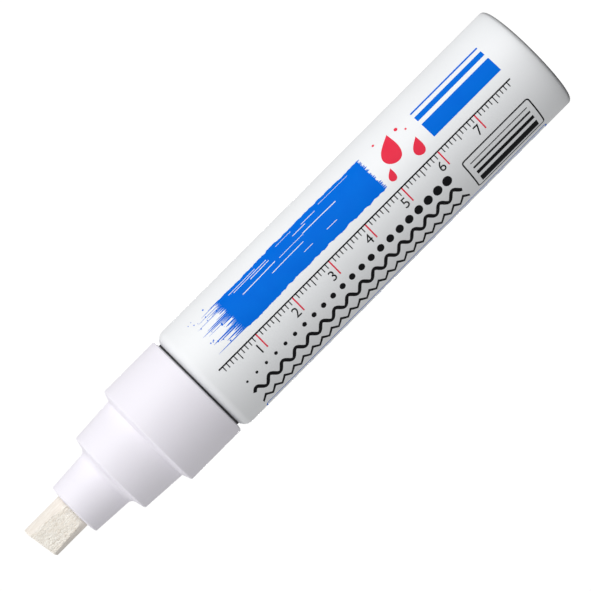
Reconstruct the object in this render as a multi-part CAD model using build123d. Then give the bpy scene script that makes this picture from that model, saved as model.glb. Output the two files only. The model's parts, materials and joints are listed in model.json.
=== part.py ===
from build123d import *

import math
import os

# Pump-action paint marker, standing on its closed rear end with the nib up.
# Millimetres. The origin is the centre of the rear end and +Z runs along the marker to the nib.
# The two chisel flats of the nib face -Y and +Y, a little turned, and its long corner is on the +X side.

# Barrel: drawn can with a closed rear end and a mouth that is rolled inwards
BARREL_DIAMETER = 25.0
BARREL_LENGTH = 91.53
BARREL_WALL = 0.6
BASE_THICKNESS = 1.2
BASE_EDGE_RADIUS = 0.9
BASE_INNER_RADIUS = 0.8
BASE_RING_WIDTH = 2.6  # flat ring that the marker stands on
DISH_DEPTH = 0.4  # shallow dish inside that ring
MOUTH_ROLL_RADIUS = 2.2
MOUTH_ROLL_ANGLE = 75.0

# Seam between the barrel's mouth and the collar, filled by a gasket
SEAM_GAP = 0.39
GASKET_RECESS = 1.28
NECK_CLEARANCE = 0.25
GASKET_CLEARANCE = 0.05

# Tip holder: spigot inside the mouth, collar, cap seat and nozzle in one moulding
SPIGOT_LENGTH = 9.4
SPIGOT_CLEARANCE = 0.05
SPIGOT_WALL = 2.6
SPIGOT_CHAMFER = 0.5
COLLAR_SETBACK = 0.3  # the collar lies this far inside the barrel's outline
COLLAR_LENGTH = 13.98
COLLAR_REAR_WIDTH = 1.4  # of the cone at the collar's rear edge
COLLAR_REAR_SLOPE = 10.0
COLLAR_REAR_RADIUS = 0.15
COLLAR_FRONT_RADIUS = 0.4
SHOULDER_SLOPE = 20.0
CAP_SEAT_STEP = 2.55  # from the collar in to the seat's front edge
CAP_SEAT_LENGTH = 10.4
CAP_SEAT_DRAFT = 3.6
CAP_SEAT_ROOT_RADIUS = 0.3
CAP_SEAT_FRONT_RADIUS = 0.4
SEAT_FACE_SLOPE = 14.0
NOZZLE_LENGTH = 10.3
NOZZLE_WALL = 1.85  # at its front rim
NOZZLE_DRAFT = 3.5
NOZZLE_FACE_SLOPE = 8.0
NOZZLE_ROOT_RADIUS = 1.3
NOZZLE_RIM_RADIUS = 0.35
CHAMBER_ROOF = 4.0
AIR_GROOVE_COUNT = 6
AIR_GROOVE_WIDTH = 1.0
AIR_GROOVE_DEPTH = 0.5

# Nib: pressed-fibre bar with two chisel flats and a slanted end
NIB_DIAMETER = 8.2
NIB_LENGTH = 32.0
NIB_REACH = 9.7  # how far it stands out of the nozzle
NIB_CLEARANCE = 0.1
NIB_CHAMBER_GAP = 2.4
NIB_REAR_CHAMFER = 0.5
TIP_THICKNESS = 5.4
CHISEL_ANGLE = 4.2
END_SLANT = 8.0
NIB_TURN = -10.0  # about its own axis

# Valve: case, washer, rod and spring inside the spigot
VALVE_FIT = 0.03
CASE_INSET = 1.5
CASE_LENGTH = 14.0
CASE_WALL = 1.6
CASE_FLOOR = 1.6
CASE_CHAMFER = 0.5
FLOW_HOLE_COUNT = 4
FLOW_HOLE_DIAMETER = 2.6
WASHER_THICKNESS = 1.6
WASHER_HOLE_DIAMETER = 7.0
STEM_CLEARANCE = 0.3
STEM_RIB_THICKNESS = 1.4
PLUG_OVERLAP = 1.5
PLUG_THICKNESS = 1.6
TAIL_DIAMETER = 3.0
TAIL_CLEARANCE = 0.1
TAIL_PROJECTION = 0.5
SPRING_DIAMETER = 6.4  # across the middle of the wire
SPRING_WIRE = 0.6
SPRING_TURNS = 6
SPRING_SEAT_GAP = 0.04

# Mixing balls, loose in the barrel
BALL_DIAMETER = 6.35
BALL_GAP = 1.0
BALL_FLOOR_GAP = 0.05

# Radii and heights that follow from the sizes above
barrel_r = BARREL_DIAMETER / 2
bore_r = barrel_r - BARREL_WALL
floor_z = DISH_DEPTH + BASE_THICKNESS

roll_turn = math.radians(MOUTH_ROLL_ANGLE)
roll_r = barrel_r - MOUTH_ROLL_RADIUS
roll_z = BARREL_LENGTH - MOUTH_ROLL_RADIUS * math.sin(roll_turn)
roll_inner_radius = MOUTH_ROLL_RADIUS - BARREL_WALL
lip_inner_r = roll_r + roll_inner_radius * math.cos(roll_turn)

neck_r = lip_inner_r - NECK_CLEARANCE
collar_r = barrel_r - COLLAR_SETBACK
spigot_r = bore_r - SPIGOT_CLEARANCE
socket_r = spigot_r - SPIGOT_WALL
spigot_z = roll_z - SPIGOT_LENGTH
collar_z = BARREL_LENGTH + SEAM_GAP
cone_z = collar_z + COLLAR_REAR_WIDTH * math.tan(math.radians(COLLAR_REAR_SLOPE))
shoulder_z = collar_z + COLLAR_LENGTH
seat_r = collar_r - CAP_SEAT_STEP
seat_z = shoulder_z + CAP_SEAT_LENGTH
rim_z = seat_z + NOZZLE_LENGTH

nib_r = NIB_DIAMETER / 2
nib_bore_r = nib_r + NIB_CLEARANCE
rim_r = nib_bore_r + NOZZLE_WALL
rim_edge_z = rim_z - NOZZLE_WALL * math.tan(math.radians(NOZZLE_FACE_SLOPE))
chamber_r = nib_r + NIB_CHAMBER_GAP
chamber_z = seat_z - CHAMBER_ROOF
tip_z = rim_z + NIB_REACH
nib_z = tip_z - NIB_LENGTH

case_r = socket_r - VALVE_FIT
case_bore_r = case_r - CASE_WALL
case_z = spigot_z + CASE_INSET
case_floor_z = case_z + CASE_FLOOR
washer_z = case_z + CASE_LENGTH
socket_end_z = washer_z + WASHER_THICKNESS
washer_hole_r = WASHER_HOLE_DIAMETER / 2
stem_r = washer_hole_r - STEM_CLEARANCE
plug_r = washer_hole_r + PLUG_OVERLAP
plug_z = washer_z - PLUG_THICKNESS
tail_r = TAIL_DIAMETER / 2
spring_r = SPRING_DIAMETER / 2
wire_r = SPRING_WIRE / 2


def lathe(outline):
    """Turn a closed outline of (radius, height) edges about the marker's axis."""
    return revolve(Plane.XZ * make_face(outline), axis=Axis.Z)


def face_meets_wall(face_r, face_z, slope, wall_r, wall_z, draft):
    """Corner where a face that leans forward meets the drafted wall in front of it."""
    lean = math.tan(math.radians(slope))
    taper = math.tan(math.radians(draft))
    corner_r = (wall_r + (wall_z - face_z - face_r * lean) * taper) / (1 - lean * taper)
    return corner_r, face_z + (face_r - corner_r) * lean


def make_barrel():
    """Can with a dished base, a straight wall and a rolled mouth of the same wall."""
    foot_r = barrel_r - BASE_EDGE_RADIUS
    dish_r = foot_r - BASE_RING_WIDTH
    outer_lip = (roll_r + MOUTH_ROLL_RADIUS * math.cos(roll_turn), BARREL_LENGTH)
    inner_lip = (lip_inner_r, roll_z + roll_inner_radius * math.sin(roll_turn))
    corner_r = bore_r - BASE_INNER_RADIUS
    corner_z = floor_z + BASE_INNER_RADIUS
    outline = Polyline((0, DISH_DEPTH), (dish_r - DISH_DEPTH, DISH_DEPTH), (dish_r, 0), (foot_r, 0))
    outline += CenterArc((foot_r, BASE_EDGE_RADIUS), BASE_EDGE_RADIUS, -90, 90)
    outline += Line((barrel_r, BASE_EDGE_RADIUS), (barrel_r, roll_z))
    outline += CenterArc((roll_r, roll_z), MOUTH_ROLL_RADIUS, 0, MOUTH_ROLL_ANGLE)
    outline += Line(outer_lip, inner_lip)
    outline += CenterArc((roll_r, roll_z), roll_inner_radius, 0, MOUTH_ROLL_ANGLE)
    outline += Line((bore_r, roll_z), (bore_r, corner_z))
    outline += CenterArc((corner_r, corner_z), BASE_INNER_RADIUS, -90, 90)
    outline += Polyline((corner_r, floor_z), (0, floor_z), (0, DISH_DEPTH))
    return lathe(outline)


def make_mouth_gasket():
    """Flat ring between the rolled mouth and the collar's rear face."""
    ring = Circle(collar_r - GASKET_RECESS) - Circle(neck_r + GASKET_CLEARANCE)
    return extrude(Plane.XY.offset(BARREL_LENGTH) * ring, SEAM_GAP)


def holder_outline():
    """Outside of the tip holder, from its spigot to the nozzle's rim, and its stepped bore."""
    nest_radius = roll_inner_radius - SPIGOT_CLEARANCE
    nest_turn = math.acos((neck_r - roll_r) / nest_radius)
    nest_top = (neck_r, roll_z + nest_radius * math.sin(nest_turn))
    step = face_meets_wall(collar_r, shoulder_z, SHOULDER_SLOPE, seat_r, seat_z, CAP_SEAT_DRAFT)
    root = face_meets_wall(seat_r, seat_z, SEAT_FACE_SLOPE, rim_r, rim_edge_z, NOZZLE_DRAFT)
    shoulder_width = collar_r - step[0]
    face_width = seat_r - root[0]
    front = FilletPolyline(
        nest_top,
        (neck_r, collar_z),
        (collar_r - COLLAR_REAR_WIDTH, collar_z),
        (collar_r, cone_z),
        (collar_r, shoulder_z),
        step,
        (seat_r, seat_z),
        root,
        (rim_r, rim_edge_z),
        (nib_bore_r, rim_z),
        radius=[
            0,
            COLLAR_REAR_RADIUS,
            COLLAR_REAR_RADIUS,
            min(COLLAR_FRONT_RADIUS, shoulder_width / 3),
            min(CAP_SEAT_ROOT_RADIUS, shoulder_width / 3),
            min(CAP_SEAT_FRONT_RADIUS, face_width / 3),
            min(NOZZLE_ROOT_RADIUS, face_width / 2),
            NOZZLE_RIM_RADIUS,
        ],
    )
    bore = Polyline(
        (nib_bore_r, rim_z),
        (nib_bore_r, chamber_z),
        (chamber_r, chamber_z),
        (chamber_r, socket_end_z),
        (socket_r, socket_end_z),
        (socket_r, spigot_z),
        (spigot_r - SPIGOT_CHAMFER, spigot_z),
        (spigot_r, spigot_z + SPIGOT_CHAMFER),
        (spigot_r, roll_z),
    )
    nest = CenterArc((roll_r, roll_z), nest_radius, 0, math.degrees(nest_turn))
    return front + bore + nest


def make_tip_holder():
    """Moulded front end with air grooves along the nib's bore."""
    groove_depth = nib_bore_r + AIR_GROOVE_DEPTH
    groove_length = rim_z - chamber_z
    groove = Box(
        groove_depth,
        AIR_GROOVE_WIDTH,
        groove_length,
        align=(Align.MIN, Align.CENTER, Align.MIN),
    )
    holder = lathe(holder_outline())
    for place in PolarLocations(0, AIR_GROOVE_COUNT):
        holder -= Pos(0, 0, chamber_z) * place * groove
    return holder


def make_nib():
    """Round bar cut by two chisel flats and a slanted end."""
    flare = math.tan(math.radians(CHISEL_ANGLE))
    fall = math.tan(math.radians(END_SLANT))
    half_tip = TIP_THICKNESS / 2
    half_rear = half_tip + NIB_LENGTH * flare
    wedge = make_face(
        Polyline((-half_rear, nib_z), (half_rear, nib_z), (half_tip, tip_z), (-half_tip, tip_z), close=True)
    )
    long_z = tip_z + nib_r * fall
    short_z = tip_z - 3 * nib_r * fall
    side = make_face(
        Polyline(
            (-NIB_DIAMETER, nib_z), (NIB_DIAMETER, nib_z), (NIB_DIAMETER, long_z), (-NIB_DIAMETER, short_z),
            close=True,
        )
    )
    bar = extrude(Plane.XY.offset(nib_z) * Circle(nib_r), NIB_LENGTH)
    bar = chamfer(bar.edges().group_by(Axis.Z)[0], NIB_REAR_CHAMFER)
    bar &= extrude(Plane.YZ * wedge, NIB_DIAMETER, both=True)
    bar &= extrude(Plane.XZ * side, NIB_DIAMETER, both=True)
    return Rot(0, 0, NIB_TURN) * bar


def make_valve_case():
    """Cup in the spigot's socket, with a guide hole and flow holes in its floor."""
    flow_r = (spring_r + wire_r + case_bore_r) / 2
    cup = extrude(Plane.XY.offset(case_z) * Circle(case_r), CASE_LENGTH)
    cup = chamfer(cup.edges().group_by(Axis.Z)[0], CASE_CHAMFER)
    cup -= extrude(Plane.XY.offset(case_floor_z) * Circle(case_bore_r), CASE_LENGTH - CASE_FLOOR)
    floor_holes = Circle(tail_r + TAIL_CLEARANCE)
    floor_holes += PolarLocations(flow_r, FLOW_HOLE_COUNT) * Circle(FLOW_HOLE_DIAMETER / 2)
    return cup - extrude(Plane.XY.offset(case_z) * floor_holes, CASE_FLOOR)


def make_valve_seat():
    """Washer between the valve case and the shoulder at the end of the socket."""
    ring = Circle(case_r) - Circle(washer_hole_r)
    return extrude(Plane.XY.offset(washer_z) * ring, WASHER_THICKNESS)


def make_valve_rod():
    """Cross-ribbed stem up to the nib, plug disc under the washer, and a guided tail."""
    tail_z = case_z - TAIL_PROJECTION
    ribs = Rectangle(2 * stem_r, STEM_RIB_THICKNESS) + Rectangle(STEM_RIB_THICKNESS, 2 * stem_r)
    stem = extrude(Plane.XY.offset(washer_z) * (ribs & Circle(stem_r)), nib_z - washer_z)
    plug = extrude(Plane.XY.offset(plug_z) * Circle(plug_r), PLUG_THICKNESS)
    tail = extrude(Plane.XY.offset(tail_z) * Circle(tail_r), plug_z - tail_z)
    return stem + plug + tail


def helix_point(turn, low_z, pitch):
    """Point and direction of the spring's centre line after a number of turns."""
    angle = 2 * math.pi * turn
    point = Vector(spring_r * math.cos(angle), spring_r * math.sin(angle), low_z + pitch * turn)
    heading = Vector(-spring_r * math.sin(angle), spring_r * math.cos(angle), pitch / (2 * math.pi))
    return point, heading.normalized()


def biarc(start, start_heading, end, end_heading):
    """Two arcs that leave start and reach end in the given directions."""
    chord = end - start
    headings = start_heading + end_heading
    square = 4 - headings.dot(headings)
    slope = chord.dot(headings)
    reach = (math.sqrt(slope * slope + square * chord.dot(chord)) - slope) / square
    middle = (start + start_heading * reach + end - end_heading * reach) / 2
    middle_heading = chord - headings * reach
    return [
        Edge.make_tangent_arc(start, start_heading, middle),
        Edge.make_tangent_arc(middle, middle_heading, end),
    ]


def print_least_gap(low_z, pitch):
    """Print how close the spring's wire comes to the wire one turn on."""
    samples_a_turn = 24
    steps = samples_a_turn * SPRING_TURNS
    samples = [helix_point(step / samples_a_turn, low_z, pitch)[0] for step in range(steps + 1)]
    spacing = min(
        (upper - lower).length
        for index, lower in enumerate(samples)
        for upper in samples[index + samples_a_turn // 2:]
    )
    print(f"valve spring: least gap to itself {spacing - SPRING_WIRE:.2f} mm")


def make_valve_spring():
    """Coil spring between the case's floor and the plug, swept on quarter-turn biarcs."""
    low_z = case_floor_z + wire_r + SPRING_SEAT_GAP
    high_z = plug_z - wire_r - SPRING_SEAT_GAP
    pitch = (high_z - low_z) / SPRING_TURNS
    edges = []
    for quarter in range(4 * SPRING_TURNS):
        start, start_heading = helix_point(quarter / 4, low_z, pitch)
        end, end_heading = helix_point((quarter + 1) / 4, low_z, pitch)
        edges += biarc(start, start_heading, end, end_heading)
    path = Wire(edges)
    print_least_gap(low_z, pitch)
    return sweep(Plane(path @ 0, z_dir=path % 0) * Circle(wire_r), path=path)


def make_mixing_ball(side):
    """Loose ball that rests on the barrel's floor, on the given side of the axis."""
    ball_r = BALL_DIAMETER / 2
    ball_x = side * (ball_r + BALL_GAP / 2)
    return Pos(ball_x, 0, floor_z + BALL_FLOOR_GAP + ball_r) * Sphere(ball_r)


parts = {
    "barrel": make_barrel(),
    "mouth_gasket": make_mouth_gasket(),
    "tip_holder": make_tip_holder(),
    "nib": make_nib(),
    "valve_case": make_valve_case(),
    "valve_seat": make_valve_seat(),
    "valve_rod": make_valve_rod(),
    "valve_spring": make_valve_spring(),
    "mixing_ball_1": make_mixing_ball(-1),
    "mixing_ball_2": make_mixing_ball(1),
}

os.makedirs("parts", exist_ok=True)
for name, solid in parts.items():
    export_step(solid, f"parts/{name}.step")
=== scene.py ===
"""Dresses the paint marker: enamelled can, moulded tip holder, felt nib, printed label and valve."""

import json
import logging
import math
import random
from dataclasses import dataclass
from enum import Enum
from functools import cached_property
from typing import Any, Mapping, Optional, Sequence, Union

import bmesh
import bpy
from mathutils import Matrix, Vector, noise


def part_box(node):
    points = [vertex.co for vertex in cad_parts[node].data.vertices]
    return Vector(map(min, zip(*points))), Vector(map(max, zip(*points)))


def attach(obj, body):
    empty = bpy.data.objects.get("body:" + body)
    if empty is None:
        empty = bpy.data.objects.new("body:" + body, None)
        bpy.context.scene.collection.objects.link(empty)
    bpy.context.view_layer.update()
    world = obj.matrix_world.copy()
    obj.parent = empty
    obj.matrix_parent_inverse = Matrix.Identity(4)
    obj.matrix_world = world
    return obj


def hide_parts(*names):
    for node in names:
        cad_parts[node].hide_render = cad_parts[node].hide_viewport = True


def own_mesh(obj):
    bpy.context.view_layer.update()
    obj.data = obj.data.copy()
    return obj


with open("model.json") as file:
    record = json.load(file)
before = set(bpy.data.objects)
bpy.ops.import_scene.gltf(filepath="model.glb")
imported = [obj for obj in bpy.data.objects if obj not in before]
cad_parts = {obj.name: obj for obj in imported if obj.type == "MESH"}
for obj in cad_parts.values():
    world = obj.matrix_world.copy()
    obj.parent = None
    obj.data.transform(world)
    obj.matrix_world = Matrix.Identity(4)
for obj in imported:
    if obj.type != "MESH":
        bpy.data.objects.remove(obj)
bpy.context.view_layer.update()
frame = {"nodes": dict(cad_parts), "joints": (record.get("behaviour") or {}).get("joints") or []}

log = logging.getLogger("paint_marker")

MM = 0.001
WELD = 0.0005
TINY = 1e-6
ORIGIN = (0.0, 0.0, 0.0)
AXIS = (0.0, 0.0, 1.0)
CUT_FELT = "cut_felt"
FIBRE_PALENESS = "fibre_paleness"

BMesh = bmesh.types.BMesh
Vert = bmesh.types.BMVert
Edge = bmesh.types.BMEdge
Material = bpy.types.Material
SceneObject = bpy.types.Object
Span = tuple[float, float]
Triple = tuple[float, float, float]
Numbers = tuple[float, ...]
Octaves = tuple[float, float, int]
Outline = list[Vector]
Points = list[Vert]


class Body(Enum):
    """Bodies that the new pieces ride on."""

    HOUSING = "housing"
    PLUNGER = "plunger"


class Ink(Enum):
    """Inks of the printed label."""

    BLUE = "blue"
    RED = "red"
    BLACK = "black"


# Shader expressions


class Value:
    """A shader socket that takes part in Python expressions."""

    def __init__(self, tree: "ShaderTree", socket: bpy.types.NodeSocket) -> None:
        """Keep the socket and the tree that new nodes go into."""
        self.tree = tree
        self.socket = socket

    def sibling(self, output: str) -> "Value":
        """Another output of the same node."""
        return Value(self.tree, self.socket.node.outputs[output])

    def __add__(self, other: "Operand") -> "Value":
        """Sum."""
        return self.tree.math("ADD", self, other)

    __radd__ = __add__

    def __sub__(self, other: "Operand") -> "Value":
        """Difference."""
        return self.tree.math("SUBTRACT", self, other)

    def __rsub__(self, other: "Operand") -> "Value":
        """Difference from a number."""
        return self.tree.math("SUBTRACT", other, self)

    def __mul__(self, other: "Operand") -> "Value":
        """Product."""
        return self.tree.math("MULTIPLY", self, other)

    __rmul__ = __mul__

    def __truediv__(self, other: "Operand") -> "Value":
        """Quotient."""
        return self.tree.math("DIVIDE", self, other)

    def over(self, edge: float, width: float) -> "Value":
        """Soft step from 0 to 1, which is half way at the edge."""
        sockets = {"Value": self, "From Min": edge - width / 2, "From Max": edge + width / 2}
        return self.tree.node("ShaderNodeMapRange", "Result", {"interpolation_type": "SMOOTHSTEP"}, sockets)


Operand = Union[Value, float, int]
Setting = Union[Value, float, int, Sequence[float]]
Sockets = Mapping[Union[str, int], Setting]


class ShaderTree:
    """A node tree that is filled by expressions."""

    MIX_SOCKETS = (0, 6, 7)
    MIX_RESULT = 2

    def __init__(self, tree: bpy.types.NodeTree) -> None:
        """Start from an emptied tree."""
        self.tree = tree
        self.tree.nodes.clear()

    def node(
        self,
        kind: str,
        output: Union[str, int],
        settings: Optional[Mapping[str, Any]] = None,
        sockets: Optional[Sockets] = None,
    ) -> Value:
        """Add any node.

        Args:
            kind: the node's type.
            output: the output to return.
            settings: the node's properties, which are set first.
            sockets: values or links of the node's inputs.

        Returns:
            The named output.
        """
        node = self.tree.nodes.new(kind)
        for name, setting in (settings or {}).items():
            setattr(node, name, setting)
        for name, setting in (sockets or {}).items():
            if isinstance(setting, Value):
                self.tree.links.new(setting.socket, node.inputs[name])
            else:
                node.inputs[name].default_value = setting
        return Value(self, node.outputs[output])

    def end(self, kind: str, shader: Value) -> None:
        """Link a shader to a new output node."""
        self.tree.links.new(shader.socket, self.tree.nodes.new(kind).inputs["Surface"])

    def math(self, operation: str, *operands: Operand) -> Value:
        """Add a Math node."""
        return self.node("ShaderNodeMath", "Value", {"operation": operation}, dict(enumerate(operands)))

    @cached_property
    def place(self) -> Value:
        """Object coordinates, in metres."""
        return self.node("ShaderNodeTexCoord", "Object")

    def round_the_axis(self, along: float, around: float) -> Value:
        """Coordinates that follow a turned surface and join up where the turn closes.

        Args:
            along: scale along the marker's axis.
            around: radius of the circle that one turn follows.

        Returns:
            A vector for a texture.
        """
        x = self.node("ShaderNodeSeparateXYZ", "X", None, {"Vector": self.place})
        y = x.sibling("Y")
        reach = self.math("SQRT", x * x + y * y) + TINY
        sockets = {"X": x / reach * around, "Y": y / reach * around, "Z": x.sibling("Z") * along}
        return self.node("ShaderNodeCombineXYZ", "Vector", None, sockets)

    def noise(
        self, scale: float, detail: float = 2.0, rough: float = 0.5, vector: Optional[Value] = None
    ) -> Value:
        """Noise from 0 to 1, on object coordinates unless another vector is given."""
        sockets = {"Vector": vector or self.place, "Scale": scale, "Detail": detail, "Roughness": rough}
        return self.node("ShaderNodeTexNoise", "Fac", None, sockets)

    def streaks(self, scale: Triple, detail: float, rough: float) -> Value:
        """Noise with a scale of its own along each axis."""
        stretched = self.node("ShaderNodeMapping", "Vector", None, {"Vector": self.place, "Scale": scale})
        return self.noise(1.0, detail, rough, stretched)

    def cells(self, scale: float) -> Value:
        """Distance to the nearest of many scattered points."""
        return self.node("ShaderNodeTexVoronoi", "Distance", None, {"Vector": self.place, "Scale": scale})

    def mix(self, share: Operand, *colours: Setting) -> Value:
        """Mix two colours.

        Args:
            share: how much of the second colour shows.
            colours: the first and the second colour.

        Returns:
            The mixed colour.
        """
        shades = [(*colour, 1.0) if isinstance(colour, tuple) else colour for colour in colours]
        sockets = dict(zip(self.MIX_SOCKETS, (share, *shades)))
        return self.node("ShaderNodeMix", self.MIX_RESULT, {"data_type": "RGBA"}, sockets)

    def bump(self, height: Value, strength: float, depth: float) -> Value:
        """Normal that follows a height from 0 to 1, whose full depth is given in metres."""
        sockets = {"Strength": strength, "Distance": depth, "Height": height}
        return self.node("ShaderNodeBump", "Normal", None, sockets)


class SurfaceTree(ShaderTree):
    """Node tree of a new material."""

    OUTPUT = "ShaderNodeOutputMaterial"

    def __init__(self, name: str) -> None:
        """Make the material that the tree belongs to.

        Args:
            name: the material's name.
        """
        self.material = bpy.data.materials.new(name)
        self.material.use_nodes = True
        super().__init__(self.material.node_tree)

    @staticmethod
    def glow(weight: float, radius: Triple) -> Sockets:
        """Sockets for light that spreads under the surface."""
        return {"Subsurface Weight": weight, "Subsurface Radius": radius, "Subsurface Scale": 1.0}

    def surface(
        self, colour: Value, rough: Value, normal: Value, more: Optional[Sockets] = None
    ) -> Material:
        """Finish the material with a principled shader.

        Args:
            colour: its colour.
            rough: its roughness.
            normal: its bumps.
            more: further sockets.

        Returns:
            The material.
        """
        sockets = {"Base Color": colour, "Roughness": rough, "Normal": normal, **(more or {})}
        self.end(self.OUTPUT, self.node("ShaderNodeBsdfPrincipled", "BSDF", None, sockets))
        return self.material


# Finishes, with scales for each metre and bump depths in metres


@dataclass(frozen=True)
class EnamelFinish:
    """White stoved enamel on a drawn can: fine orange peel, faint drawing lines and rub marks."""

    name: str = "white_enamel"
    light: Triple = (0.83, 0.845, 0.86)
    dull: Triple = (0.79, 0.80, 0.815)
    rubbed: Triple = (0.70, 0.70, 0.71)
    roughness: float = 0.44
    depth: float = 0.00002

    def make(self) -> Material:
        """Build the material.

        Returns:
            The enamel.
        """
        tree = SurfaceTree(self.name)
        cloud = tree.noise(scale=90.0, detail=3.0)
        peel = tree.noise(scale=1500.0, rough=0.45)
        lines = tree.noise(scale=3.0, detail=3.0, rough=0.6, vector=tree.round_the_axis(12.0, 60.0))
        rub = tree.streaks((220.0, 220.0, 900.0), detail=4.0, rough=0.65).over(0.72, 0.08)
        specks = 1 - tree.cells(scale=420.0).over(0.06, 0.05)
        colour = tree.mix(cloud, self.dull, self.light)
        colour = tree.mix(rub * 0.22 + specks * 0.12, colour, self.rubbed)
        rough = cloud * 0.08 + lines * 0.06 + rub * 0.12 + (self.roughness - 0.06)
        normal = tree.bump(peel * 0.7 + lines * 0.2 - rub * 0.1, 0.35, self.depth)
        return tree.surface(colour, rough, normal, {"IOR": 1.5, "Coat Weight": 0.05, "Coat Roughness": 0.3})


@dataclass(frozen=True)
class MouldedFinish:
    """White moulded plastic: fine spark texture, flow streaks along the draw and a few handling marks."""

    name: str = "white_plastic"
    light: Triple = (0.85, 0.827, 0.888)
    dull: Triple = (0.815, 0.79, 0.853)
    soiled: Triple = (0.66, 0.63, 0.62)
    roughness: float = 0.48
    depth: float = 0.000015
    glow_radius: Triple = (0.0012, 0.0012, 0.0013)

    def make(self) -> Material:
        """Build the material.

        Returns:
            The moulded plastic.
        """
        tree = SurfaceTree(self.name)
        cloud = tree.noise(scale=120.0, detail=3.0)
        spark = tree.noise(scale=3800.0, rough=0.6)
        flow = tree.noise(scale=2.0, detail=3.0, rough=0.6, vector=tree.round_the_axis(25.0, 26.0))
        marks = tree.streaks((500.0, 500.0, 260.0), detail=5.0, rough=0.7).over(0.74, 0.06)
        colour = tree.mix(cloud * 0.6 + flow * 0.4, self.dull, self.light)
        colour = tree.mix(marks * 0.14, colour, self.soiled)
        rough = spark * 0.1 + flow * 0.06 + (self.roughness - 0.08)
        normal = tree.bump(spark * 0.6 + flow * 0.35 - marks * 0.15, 0.3, self.depth)
        return tree.surface(colour, rough, normal, {"IOR": 1.49, **tree.glow(0.08, self.glow_radius)})


@dataclass(frozen=True)
class FeltFinish:
    """Pressed and cut polyester felt: cream fibres along the bar, painted shade in the hollows between them
    and a smoother skin.

    The piece's own attributes say where the felt is cut and how pale a loose fibre is.
    """

    name: str = "nib_felt"
    pale: Triple = (0.98, 0.96, 0.90)
    cream: Triple = (0.91, 0.83, 0.73)
    hollow_shade: Triple = (0.70, 0.625, 0.515)
    skin: Triple = (0.78, 0.715, 0.645)
    roughness: float = 0.88
    depth: float = 0.0001

    def make(self) -> Material:
        """Build the material.

        Returns:
            The felt.
        """
        tree = SurfaceTree(self.name)
        cut = tree.node("ShaderNodeAttribute", "Fac", {"attribute_name": CUT_FELT})
        paleness = tree.node("ShaderNodeAttribute", "Fac", {"attribute_name": FIBRE_PALENESS})
        fibres = tree.streaks((5200.0, 5200.0, 1100.0), detail=4.0, rough=0.65)
        strands = tree.streaks((2600.0, 3400.0, 420.0), detail=3.0, rough=0.6)
        blush = tree.noise(scale=700.0, detail=3.0, rough=0.55)
        # painted shade: the hollows of the bump get a darker brown-tan colour
        hollow_shade_mask = 1 - tree.streaks((3300.0, 3300.0, 1200.0), detail=3.0, rough=0.7).over(0.42, 0.16)
        colour = tree.mix(fibres.over(0.5, 0.4) * 0.4 + paleness * 0.6, self.cream, self.pale)
        colour = tree.mix(hollow_shade_mask * 0.52, colour, self.hollow_shade)
        skin = tree.mix(strands.over(0.5, 0.4) * 0.45, self.skin, self.pale)
        colour = tree.mix(cut, skin, colour)
        colour = tree.mix(blush.over(0.6, 0.3) * 0.25, colour, self.skin)
        rough = fibres * 0.1 + (self.roughness - 0.05)
        height = (fibres * 0.5 + strands * 0.35 - hollow_shade_mask * 0.5) * (cut * 0.8 + 0.2)
        sheen = {"IOR": 1.45, "Sheen Weight": 0.1, "Sheen Roughness": 0.6}
        return tree.surface(colour, rough, tree.bump(height, 0.6, self.depth), sheen)


@dataclass(frozen=True)
class InkFinish:
    """Screen-printed ink: a flat film with a fine mesh grain and tiny pinholes."""

    name: str
    full: Triple
    thin: Triple
    roughness: float = 0.4
    depth: float = 0.00001

    def make(self) -> Material:
        """Build the material.

        Returns:
            The ink.
        """
        tree = SurfaceTree(self.name)
        film = tree.noise(scale=260.0, detail=3.0)
        grain = tree.noise(scale=5200.0, rough=0.6)
        pinholes = 1 - tree.cells(scale=1500.0).over(0.09, 0.06)
        colour = tree.mix(film * 0.5 + pinholes * 0.35, self.full, self.thin)
        rough = grain * 0.12 + (self.roughness - 0.06)
        normal = tree.bump(grain * 0.6 + film * 0.4, 0.25, self.depth)
        return tree.surface(colour, rough, normal, {"Specular IOR Level": 0.02})


@dataclass(frozen=True)
class RubberFinish:
    """Matt rubber with a bloom and a fine moulded grain."""

    name: str
    deep: Triple
    bloom: Triple
    roughness: float = 0.66
    depth: float = 0.00002

    def make(self) -> Material:
        """Build the material.

        Returns:
            The rubber.
        """
        tree = SurfaceTree(self.name)
        patches = tree.noise(scale=500.0, detail=4.0, rough=0.6)
        grain = tree.noise(scale=4200.0, rough=0.6)
        colour = tree.mix(patches.over(0.6, 0.4) * 0.5, self.deep, self.bloom)
        return tree.surface(colour, grain * 0.15 + self.roughness, tree.bump(grain, 0.4, self.depth))


@dataclass(frozen=True)
class NaturalPlasticFinish:
    """Milky unpigmented plastic of the valve, a little see-through, with paint film on it."""

    name: str = "valve_plastic"
    milk: Triple = (0.80, 0.81, 0.78)
    film: Triple = (0.90, 0.90, 0.90)
    roughness: float = 0.3
    depth: float = 0.00002
    glow_radius: Triple = (0.002, 0.002, 0.002)

    def make(self) -> Material:
        """Build the material.

        Returns:
            The unpigmented plastic.
        """
        tree = SurfaceTree(self.name)
        wash = tree.noise(scale=320.0, detail=4.0, rough=0.6).over(0.52, 0.2)
        grain = tree.noise(scale=3000.0)
        colour = tree.mix(wash, self.milk, self.film)
        rough = wash * 0.2 + grain * 0.08 + self.roughness
        normal = tree.bump(grain * 0.5 + wash * 0.5, 0.3, self.depth)
        return tree.surface(colour, rough, normal, tree.glow(0.3, self.glow_radius))


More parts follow.
